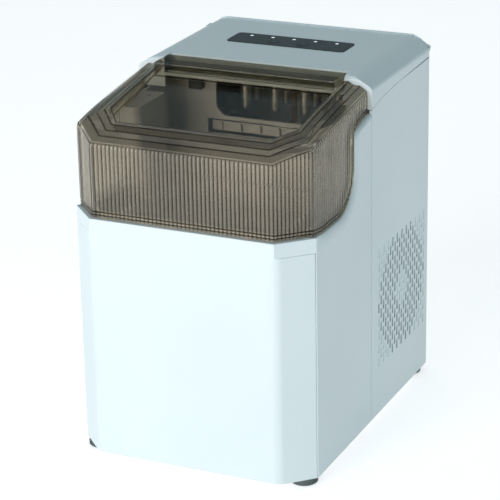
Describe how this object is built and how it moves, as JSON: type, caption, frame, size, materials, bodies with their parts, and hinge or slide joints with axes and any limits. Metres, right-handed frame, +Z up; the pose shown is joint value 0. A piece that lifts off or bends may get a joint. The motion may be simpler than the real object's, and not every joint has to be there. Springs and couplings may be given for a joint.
{
  "type": "countertop ice maker",
  "caption": "Countertop bullet-ice maker: white moulded case with chamfered front, smoked ribbed hinged lid, deck control panel, round side grilles.",
  "frame": {"origin": "middle of the footprint, on the surface that the feet stand on", "axes": "+X to the right seen from the front, +Y to the rear, +Z up"},
  "size_m": [0.224, 0.3, 0.328],
  "materials": {
    "white_shell": "satin white ABS with a faint cool tint",
    "base_grey": "matt light grey",
    "foot_rubber": "matt dark rubber",
    "panel_black": "gloss black acrylic",
    "led_white": "translucent white window",
    "circuit_board": "green solder mask",
    "smoked_clear": "smoked clear, polished",
    "tray_clear": "clear moulded plastic, satin",
    "liner_grey": "satin food-grade plastic",
    "foam": "matt foam",
    "nickel": "satin nickel plate",
    "steel": "bright zinc plate",
    "dark_plastic": "matt black plastic",
    "hose_rubber": "satin silicone",
    "black_paint": "semi-gloss black paint",
    "fin_aluminium": "mill finish",
    "copper": "dull drawn copper"
  },
  "bodies": {
    "body": {"front_panel": "white_shell", "side_frame": "white_shell", "rear_shell": "white_shell", "top_cover": "white_shell", "base_plate": "base_grey", "rubber_feet": "foot_rubber", "control_panel": "panel_black", "led_lenses": "led_white", "display_board": "circuit_board", "inner_liner": "liner_grey", "insulation": "foam", "bulkhead": "liner_grey", "drive_housing": "liner_grey", "evaporator_block": "nickel", "evaporator_fingers": "nickel", "tray_bracket": "steel", "tray_motor": "dark_plastic", "ice_sensors": "dark_plastic", "float_switch": "liner_grey", "water_pump": "dark_plastic", "pump_hose": "hose_rubber", "compressor": "black_paint", "compressor_feet": "foot_rubber", "terminal_cover": "dark_plastic", "condenser_fins": "fin_aluminium", "condenser_coil": "copper", "fan_shroud": "dark_plastic", "fan_motor": "steel", "filter_drier": "copper", "solenoid_valve": "dark_plastic", "refrigerant_lines": "copper", "power_board": "circuit_board", "transformer": "steel", "drain_spout": "base_grey", "power_inlet": "dark_plastic", "shell_screws": "steel"},
    "lid": {"lid": "smoked_clear"},
    "power_button": {"power_button": "panel_black"},
    "select_button": {"select_button": "panel_black"},
    "tray": {"water_tray": "tray_clear", "tray_shaft": "steel"},
    "pusher": {"ice_pusher": "liner_grey"},
    "fan": {"fan_rotor": "dark_plastic"},
    "basket": {"ice_basket": "liner_grey"},
    "scoop": {"ice_scoop": "liner_grey"},
    "cap": {"drain_cap": "dark_plastic"},
    "float": {"float_ring": "liner_grey"}
  },
  "joints": [
    {"name": "lid_hinge", "type": "hinge", "parent": "body", "child": "lid", "pos_m": [0, 0.006, 0.3207], "axis": [-1, 0, 0], "range_deg": [0, 85]},
    {"name": "power_button_press", "type": "slide", "parent": "body", "child": "power_button", "axis": [0, 0, -1], "range_m": [0, 0.0008], "stiffness_N_per_m": 400, "springref_m": -0.0005},
    {"name": "select_button_press", "type": "slide", "parent": "body", "child": "select_button", "axis": [0, 0, -1], "range_m": [0, 0.0008], "stiffness_N_per_m": 400, "springref_m": -0.0005},
    {"name": "tray_tip", "type": "hinge", "parent": "body", "child": "tray", "pos_m": [0, 0.102, 0.276], "axis": [1, 0, 0], "range_deg": [0, 80]},
    {"name": "pusher_slide", "type": "slide", "parent": "body", "child": "pusher", "axis": [0, -1, 0], "range_m": [0, 0.0402]},
    {"name": "fan_spin", "type": "hinge", "parent": "body", "child": "fan", "pos_m": [0.077, 0.0755, 0.109], "axis": [1, 0, 0], "continuous": true},
    {"name": "basket_lift", "type": "slide", "parent": "body", "child": "basket", "axis": [0, 0, 1], "range_m": [0, 0.03]},
    {"name": "scoop_lift", "type": "slide", "parent": "basket", "child": "scoop", "axis": [0, 0, 1], "range_m": [0, 0.06]},
    {"name": "cap_pull", "type": "slide", "parent": "body", "child": "cap", "axis": [0, 1, 0], "range_m": [0, 0.012]},
    {"name": "float_rise", "type": "slide", "parent": "body", "child": "float", "axis": [0, 0, 1], "range_m": [0, 0.019]}
  ],
  "couplings": [
    {"joint": "pusher_slide", "follows": "tray_tip", "m_per_rad": 0.02865}
  ]
}
